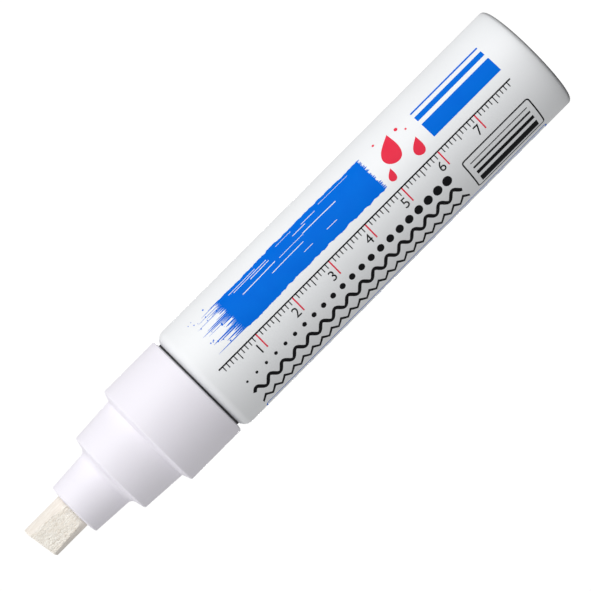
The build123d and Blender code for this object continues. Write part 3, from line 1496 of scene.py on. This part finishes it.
    def wrapped(self, mouth_z: float, inner: float, outer: float) -> BMesh:
        """Give the artwork a film's thickness and lay it round the can.

        Args:
            mouth_z: height of the can's mouth.
            inner: radius of the film's underside.
            outer: radius of its face.

        Returns:
            The closed film.
        """
        mesh = self.mesh
        bmesh.ops.remove_doubles(mesh, verts=mesh.verts, dist=WELD)
        bmesh.ops.triangulate(mesh, faces=mesh.faces, quad_method="BEAUTY", ngon_method="BEAUTY")
        arcs = [vert.co.y / self.BEND_STEP for vert in mesh.verts]
        for index in range(math.floor(min(arcs)), math.ceil(max(arcs))):
            bmesh.ops.bisect_plane(
                mesh,
                geom=[*mesh.verts, *mesh.edges, *mesh.faces],
                dist=self.BEND_SLACK,
                plane_co=(0.0, index * self.BEND_STEP, 0.0),
                plane_no=(0.0, 1.0, 0.0),
            )
        made = bmesh.ops.extrude_face_region(mesh, geom=list(mesh.faces), use_keep_orig=True)["geom"]
        top = {item for item in made if isinstance(item, Vert)}
        for vert in mesh.verts:
            radius = outer if vert in top else inner
            turned = vert.co.y / outer
            vert.co = Vector((radius * math.sin(turned), -radius * math.cos(turned), mouth_z - vert.co.x))
        bmesh.ops.recalc_face_normals(mesh, faces=mesh.faces)
        return mesh


@dataclass(frozen=True)
class BrushStroke:
    """One stroke of a dry brush, with ragged edges, slits and bristle ends."""

    start: float = 14.0
    end: float = 52.0
    low: float = 1.2
    high: float = 10.0
    bristles: int = 30
    bristle_shares: Span = (0.35, 1.5)
    spans: int = 110
    wobble: float = 0.28
    wobble_scale: float = 0.09
    wobble_row: float = 3.7
    ragged: float = 0.22
    ragged_scale: float = 0.8
    ragged_row: float = 1.3
    ragged_octaves: Octaves = (0.8, 2.0, 4)
    slit_count: int = 16
    slit_width: float = 0.19
    slit_margin: int = 2
    slit_least: int = 6
    front_reach: Span = (0.6, 7.5)
    rear_reach: Span = (0.1, 0.8)
    end_taper: tuple[Span, ...] = ((0.2, 0.86), (0.5, 0.7), (0.8, 0.45), (1.0, 0.08))
    splashes: int = 22
    splash_reach: Span = (0.1, 1.05)
    splash_side: float = 1.2
    splash_size: Span = (0.12, 0.5)
    splash_power: float = 1.3
    seed: int = 5

    def lay(self, sheet: PrintSheet) -> None:
        """Print the stroke.

        Args:
            sheet: the sheet of its ink.
        """
        draw = random.Random(self.seed)
        mesh = sheet.mesh
        shares = [draw.uniform(*self.bristle_shares) for _ in range(self.bristles)]
        lines = [sum(shares[:n]) / sum(shares) for n in range(self.bristles + 1)]
        rows = self.tracks(sheet, lines)
        for low, high in zip(rows, rows[1:]):
            self.bristle_end(mesh, low[0], high[0], -draw.uniform(*self.front_reach))
            self.bristle_end(mesh, low[-1], high[-1], draw.uniform(*self.rear_reach))
        narrow = [
            row
            for row in range(self.slit_margin, self.bristles - self.slit_margin)
            if (lines[row + 1] - lines[row]) * (self.high - self.low) < self.slit_width
        ]
        for index in range(self.slit_count):
            first = draw.randrange(self.slit_margin, self.spans * 3 // 4)
            count = draw.randrange(self.slit_least, self.spans // 4)
            last = min(first + count, self.spans - self.slit_margin)
            row = narrow[index % len(narrow)]
            self.open_slit(mesh, rows[row][first : last + 1] + rows[row + 1][first : last + 1])
        for _ in range(self.splashes):
            ahead = self.start - self.front_reach[1] * draw.uniform(*self.splash_reach)
            across = draw.uniform(self.low - self.splash_side, self.high + self.splash_side)
            sheet.dot(ahead, across, draw.uniform(*self.splash_size) ** self.splash_power)

    def tracks(self, sheet: PrintSheet, lines: Sequence[float]) -> list[Points]:
        """Print the tracks of the bristles as one grid.

        Args:
            sheet: the sheet of the ink.
            lines: edges of the tracks, as shares of the stroke's width.

        Returns:
            Points along each edge, from the front to the rear.
        """
        rows: list[Points] = [[] for _ in lines]
        verts = sheet.grid(self.spans, self.bristles)
        for vert in sorted(verts, key=lambda item: item.co.x):
            row = round((vert.co.y + 0.5) * self.bristles)
            along = self.start + (vert.co.x + 0.5) * (self.end - self.start)
            drift = self.wobble * noise.noise(Vector((along * self.wobble_scale, self.wobble_row, 0.0)))
            across = self.low + lines[row] * (self.high - self.low) + drift
            if row in (0, self.bristles):
                edge = Vector((along * self.ragged_scale, row, self.ragged_row))
                across += self.ragged * noise.fractal(edge, *self.ragged_octaves)
            vert.co = Vector((along, across, 0.0))
            rows[row].append(vert)
        return rows

    def bristle_end(self, mesh: BMesh, low: Vert, high: Vert, reach: float) -> None:
        """Draw one bristle's track out to a thin end.

        Args:
            mesh: the flat artwork.
            low: lower corner of the track.
            high: upper corner of the track.
            reach: how far it goes, less than zero towards the mouth.
        """
        middle = (low.co + high.co) / 2
        half = (high.co - low.co) / 2
        edge = next(item for item in low.link_edges if high in item.verts)
        side = low
        for share, width in self.end_taper:
            made = bmesh.ops.extrude_edge_only(mesh, edges=[edge])["geom"]
            edge = next(item for item in made if isinstance(item, Edge))
            linked = [item.other_vert(side) for item in side.link_edges]
            ahead = next(vert for vert in linked if vert in edge.verts)
            for vert in edge.verts:
                offset = -half if vert is ahead else half
                vert.co = middle + offset * width + Vector((reach * share, 0.0, 0.0))
            side = ahead

    @staticmethod
    def open_slit(mesh: BMesh, verts: Points) -> None:
        """Leave bare what lies between the given points of two neighbouring edges."""
        bare = {face for vert in verts for face in vert.link_faces if set(verts).issuperset(face.verts)}
        bmesh.ops.delete(mesh, geom=list(bare), context="FACES")


@dataclass(frozen=True)
class Ruler:
    """Ruler in millimetres along the can, with a plain figure at each centimetre."""

    front: float
    rear: float
    line: float
    top: float = -0.7
    tick: float = 0.2
    tick_reach: float = 1.0
    five_reach: float = 1.6
    ten_reach: float = 3.4
    figure_height: float = 2.1
    figure_drop: float = 3.6
    figure_shift: float = 1.4

    @property
    def foot(self) -> float:
        """Lower edge of the ruler's line, where its ticks start."""
        return self.top - self.line

    @property
    def length(self) -> int:
        """Length in whole millimetres."""
        return round(self.rear - self.front)

    def add_tick(self, sheet: PrintSheet, place: int, width: float, reach: float) -> None:
        """Add one tick."""
        along = self.front + place
        sheet.bar(along - width / 2, along + width / 2, self.foot - reach, self.foot)

    def lay(self, sheet: PrintSheet) -> None:
        """Print the line, the short ticks and the figures.

        Args:
            sheet: the sheet of their ink.
        """
        sheet.bar(self.front, self.rear, self.foot, self.top)
        for place in range(1, self.length):
            if place % 10:
                self.add_tick(sheet, place, self.tick, self.tick_reach if place % 5 else self.five_reach)
            else:
                along = self.front + place - self.figure_shift
                sheet.figure(str(place // 10), along, self.foot - self.figure_drop, self.figure_height)

    def lay_tens(self, sheet: PrintSheet) -> None:
        """Print the long ticks of the centimetres."""
        for place in range(10, self.length, 10):
            self.add_tick(sheet, place, self.line, self.ten_reach)


@dataclass(frozen=True)
class TestStrokes:
    """A row of growing dots, a wave and a zigzag."""

    start: float
    end: float = 63.0
    dot_count: int = 22
    dot_margins: Span = (0.4, 1.2)
    dot_row: float = -6.6
    dot_sizes: Span = (0.55, 2.1)
    wave: Swing = Swing(middle=-9.9, height=0.85, period=3.6, line=0.8)
    zigzag: Swing = Swing(middle=-13.4, height=0.8, period=2.6, line=0.6)

    def lay(self, sheet: PrintSheet) -> None:
        """Print the three rows.

        Args:
            sheet: the sheet of their ink.
        """
        ends = (self.start, self.end)
        dot_ends = (self.start + self.dot_margins[0], self.end - self.dot_margins[1])
        sheet.dots(self.dot_count, dot_ends, self.dot_row, self.dot_sizes)
        sheet.wave(ends, self.wave)
        sheet.zigzag(ends, self.zigzag)


@dataclass(frozen=True)
class WidthChart:
    """A border that holds lines of growing width."""

    start: float
    end: float
    line: float
    low: float = -14.6
    high: float = -6.0
    corner: float = 0.7
    margin: float = 1.4
    top_margin: float = 1.5
    widths: Numbers = (0.2, 0.45, 0.9, 1.8)
    gap: float = 0.95

    def lay(self, sheet: PrintSheet) -> None:
        """Print the chart.

        Args:
            sheet: the sheet of its ink.
        """
        sheet.border(self.start, self.end, self.low, self.high, self.line, self.corner)
        across = self.high - self.top_margin
        for width in self.widths:
            sheet.bar(self.start + self.margin, self.end - self.margin, across - width, across)
            across -= width + self.gap


@dataclass(frozen=True)
class WritingPanel:
    """An empty ruled panel."""

    middle: float
    line: float
    start: float = 14.0
    end: float = 78.0
    half_width: float = 10.5
    corner: float = 1.4
    margin: float = 3.0
    rows: int = 4
    first_row: float = 5.1
    row_pitch: float = 4.2
    row_line: float = 0.18

    def lay(self, sheet: PrintSheet) -> None:
        """Print the panel.

        Args:
            sheet: the sheet of its ink.
        """
        low = self.middle - self.half_width
        sheet.border(self.start, self.end, low, self.middle + self.half_width, self.line, self.corner)
        for row in range(self.rows):
            across = self.middle + self.first_row - row * self.row_pitch
            edges = (across - self.row_line / 2, across + self.row_line / 2)
            sheet.bar(self.start + self.margin, self.end - self.margin, *edges)


@dataclass
class Label:
    """Plain screen print of the can: brush stroke, drops, ruler, test strokes and a writing panel."""

    barrel: Barrel
    film: float = 0.04
    front: float = 4.4
    rear: float = 84.4
    inset: float = 2.0
    line: float = 0.3
    block_start: float = 66.0
    bars: tuple[Span, ...] = ((1.6, 5.2), (6.2, 7.4), (8.4, 8.8))
    strip: Span = (-22.6, -16.2)
    strip_corner: float = 0.9
    strip_margin: float = 3.0
    strip_dots: int = 16
    strip_sizes: Span = (1.0, 2.2)
    drops: tuple[Numbers, ...] = ((58.4, 6.4, 6.6, 4.3), (62.6, 2.6, 3.9, 2.5), (55.0, 2.2, 2.7, 1.7))
    drop_lean: float = 62.0
    splashes: tuple[Triple, ...] = ((61.9, 8.6, 0.8), (63.3, 7.0, 0.45), (56.6, 9.8, 0.55))

    @property
    def ruler(self) -> Ruler:
        """Ruler along the whole label."""
        return Ruler(self.front, self.rear, self.line)

    def blue(self) -> PrintSheet:
        """Brush stroke, bars at the rear and a dotted strip at the lower edge.

        Returns:
            The sheet.
        """
        sheet = PrintSheet()
        BrushStroke().lay(sheet)
        for edges in self.bars:
            sheet.bar(self.block_start, self.rear, *edges)
        start = self.front + self.inset
        sheet.border(start, self.rear, *self.strip, self.line, self.strip_corner)
        ends = (start + self.strip_margin, self.rear - self.strip_margin)
        sheet.dots(self.strip_dots, ends, sum(self.strip) / 2, self.strip_sizes)
        return sheet

    def red(self) -> PrintSheet:
        """Three paint drops, a few splashes and the ruler's centimetre ticks.

        Returns:
            The sheet.
        """
        sheet = PrintSheet()
        for drop in self.drops:
            sheet.drop(*drop, self.drop_lean)
        for splash in self.splashes:
            sheet.dot(*splash)
        self.ruler.lay_tens(sheet)
        return sheet

    def black(self) -> PrintSheet:
        """Ruler, rows of test strokes, a chart of line widths and a writing panel at the back.

        Returns:
            The sheet.
        """
        sheet = PrintSheet()
        back = math.pi * self.barrel.box.radius
        self.ruler.lay(sheet)
        TestStrokes(self.front + self.inset).lay(sheet)
        WidthChart(self.block_start, self.rear, self.line).lay(sheet)
        WritingPanel(back, self.line).lay(sheet)
        return sheet

    def build(self, finishes: Mapping[Ink, Material]) -> list[SceneObject]:
        """Print every ink.

        Args:
            finishes: the finish of each ink.

        Returns:
            One piece for each ink.
        """
        sheets = {Ink.BLUE: self.blue(), Ink.RED: self.red(), Ink.BLACK: self.black()}
        outer = self.barrel.box.radius
        mouth_z = self.barrel.box.high.z
        pieces = []
        for ink, sheet in sheets.items():
            mesh = sheet.wrapped(mouth_z, outer - self.film, outer)
            pieces.append(finish_piece(mesh, f"{ink.value}_print", finishes[ink], Body.HOUSING))
        return pieces


# Studio, in metres


@dataclass(frozen=True)
class Softbox:
    """Round soft light, whose place round the marker is counted from the camera's side."""

    name: str
    degrees: float
    distance: float
    size: float
    watts: float


@dataclass
class Studio:
    """White floor, soft light and the camera of the photograph."""

    focal_px: float = 3500.0
    frame_px: float = 591.0
    sensor: float = 36.0
    distance: float = 0.689
    eye_z: float = 0.0917
    aim: Triple = (-0.0011, 0.0, 0.0659)
    roll_degrees: float = 135.1
    clip_end: float = 50.0
    floor_side: float = 12.0
    floor_parts: int = 8
    card_radius: float = 0.016
    card_depth: float = 0.0002
    card_sides: int = 48
    light_height: float = 0.066
    key: Softbox = Softbox("key", 45.0, 0.75, 0.9, 4.4)
    fill: Softbox = Softbox("fill", 180.0, 0.95, 0.3, 2.6)
    ambient: float = 0.545
    overhead: float = 1.3
    overhead_step: Span = (0.75, 0.5)
    below: float = 0.2
    below_step: Span = (0.5, 0.7)
    white: float = 1.05

    def add_camera(self) -> None:
        """Camera level with the collar, turned so that the marker lies across the picture."""
        data = bpy.data.cameras.new("camera")
        data.sensor_width = self.sensor
        data.lens = self.focal_px / self.frame_px * self.sensor
        data.clip_end = self.clip_end
        eye = Vector((self.aim[0], -self.distance, self.eye_z))
        ahead = (Vector(self.aim) - eye).normalized()
        turned = math.radians(self.roll_degrees)
        right = ahead.cross(Vector((math.sin(turned), 0.0, math.cos(turned)))).normalized()
        up = right.cross(ahead)
        camera = add_object("camera", data)
        camera.matrix_world = Matrix.Translation(eye) @ Matrix((right, up, -ahead)).transposed().to_4x4()
        bpy.context.scene.camera = camera

    def add_floor(self) -> None:
        """Flat floor under the marker's rear end."""
        mesh = bmesh.new()
        parts = self.floor_parts
        bmesh.ops.create_grid(mesh, x_segments=parts, y_segments=parts, size=self.floor_side / 2)
        floor = add_object("studio_floor", mesh_data(mesh, "studio_floor"))
        floor.data.materials.append(FloorFinish().make())
        floor.visible_diffuse = floor.visible_glossy = floor.visible_shadow = False

    def add_card(self) -> None:
        """Small black card under the rear end, out of view, that keeps its edge dark."""
        mesh = bmesh.new()
        under = Matrix.Translation((0.0, 0.0, -self.card_depth))
        bmesh.ops.create_circle(
            mesh, cap_ends=True, radius=self.card_radius, segments=self.card_sides, matrix=under
        )
        card = add_object("black_card", mesh_data(mesh, "black_card"))
        card.data.materials.append(RubberFinish("card_black", (0.02, 0.02, 0.02), (0.03, 0.03, 0.03)).make())
        card.visible_camera = False

    def add_light(self, box: Softbox) -> None:
        """Hang a soft light level with the middle of the marker.

        Args:
            box: the light.
        """
        data = bpy.data.lights.new(box.name, "AREA")
        data.shape = "DISK"
        data.size = box.size
        data.energy = box.watts
        turned = math.radians(box.degrees)
        away = Vector((math.sin(turned), -math.cos(turned), 0.0))
        place = Matrix.Translation(away * box.distance + Vector((0.0, 0.0, self.light_height)))
        light = add_object(box.name, data)
        light.matrix_world = place @ away.to_track_quat("Z", "Y").to_matrix().to_4x4()
        light.visible_camera = False

    def add_surroundings(self) -> None:
        """Surroundings that light the marker softly and look white to the camera."""
        world = bpy.data.worlds.new("studio")
        bpy.context.scene.world = world
        world.use_nodes = True
        tree = ShaderTree(world.node_tree)
        place = tree.node("ShaderNodeTexCoord", "Generated")
        height = tree.node("ShaderNodeSeparateXYZ", "Z", None, {"Vector": place})
        light = height.over(*self.overhead_step) * (self.overhead - self.ambient) + self.ambient
        light = light + (0.0 - height).over(*self.below_step) * (self.below - self.ambient)
        plain = (1.0, 1.0, 1.0, 1.0)
        soft, white = [
            tree.node("ShaderNodeBackground", "Background", None, {"Color": plain, "Strength": strength})
            for strength in (light, self.white)
        ]
        is_view = tree.node("ShaderNodeLightPath", "Is Camera Ray")
        seen = tree.node("ShaderNodeMixShader", 0, None, {0: is_view, 1: soft, 2: white})
        tree.end("ShaderNodeOutputWorld", seen)

    def build(self) -> None:
        """Set up the whole studio."""
        bpy.context.scene.view_settings.view_transform = "Standard"
        self.add_surroundings()
        self.add_floor()
        self.add_card()
        for box in (self.key, self.fill):
            self.add_light(box)
        self.add_camera()


def main() -> None:
    """Build every sub-assembly and the studio, and report each piece."""
    logging.basicConfig(level=logging.INFO, format="%(name)s: %(message)s")
    nib_box = NodeBox.of("nib")
    barrel = Barrel(NodeBox.of("barrel"))
    holder = TipHolder(NodeBox.of("tip_holder"), barrel, nib_box)
    inks = {
        Ink.BLUE: InkFinish("blue_ink", (0.0, 0.125, 0.65), (0.0, 0.18, 0.73)),
        Ink.RED: InkFinish("red_ink", (0.74, 0.025, 0.06), (0.80, 0.06, 0.10)),
        Ink.BLACK: InkFinish("black_ink", (0.008, 0.008, 0.009), (0.02, 0.02, 0.022)),
    }
    ball_steel = SteelFinish(
        "ball_steel", (0.72, 0.72, 0.73), (0.45, 0.44, 0.42), (900.0, 900.0, 900.0), roughness=0.12
    ).make()
    spring_steel = SteelFinish(
        "spring_steel", (0.62, 0.62, 0.62), (0.40, 0.38, 0.35), (4000.0, 4000.0, 600.0), roughness=0.25
    ).make()
    valve_plastic = NaturalPlasticFinish().make()
    inner_finishes = {
        # the mouth gasket is black rubber, and its dark colour also stands in for the painted shade in the
        # seam between can and collar
        "mouth_gasket": RubberFinish("black_rubber", (0.02, 0.02, 0.022), (0.05, 0.05, 0.053)).make(),
        "valve_case": valve_plastic,
        "valve_seat": RubberFinish("seat_rubber", (0.05, 0.05, 0.055), (0.12, 0.12, 0.12)).make(),
        "valve_rod": valve_plastic,
        "mixing_ball_1": ball_steel,
        "mixing_ball_2": ball_steel,
    }
    pieces = [
        barrel.build(EnamelFinish().make()),
        holder.build(MouldedFinish().make()),
        *Nib(nib_box, holder.box.high.z).build(FeltFinish().make()),
        *Label(barrel).build({ink: finish.make() for ink, finish in inks.items()}),
        *Valve(NodeBox.of("valve_spring")).build(spring_steel, inner_finishes),
    ]
    for piece in pieces:
        log.info("%s: %d faces in %s", piece.name, len(piece.data.polygons), piece.data.materials[0].name)
    Studio().build()


if __name__ == "__main__":
    main()
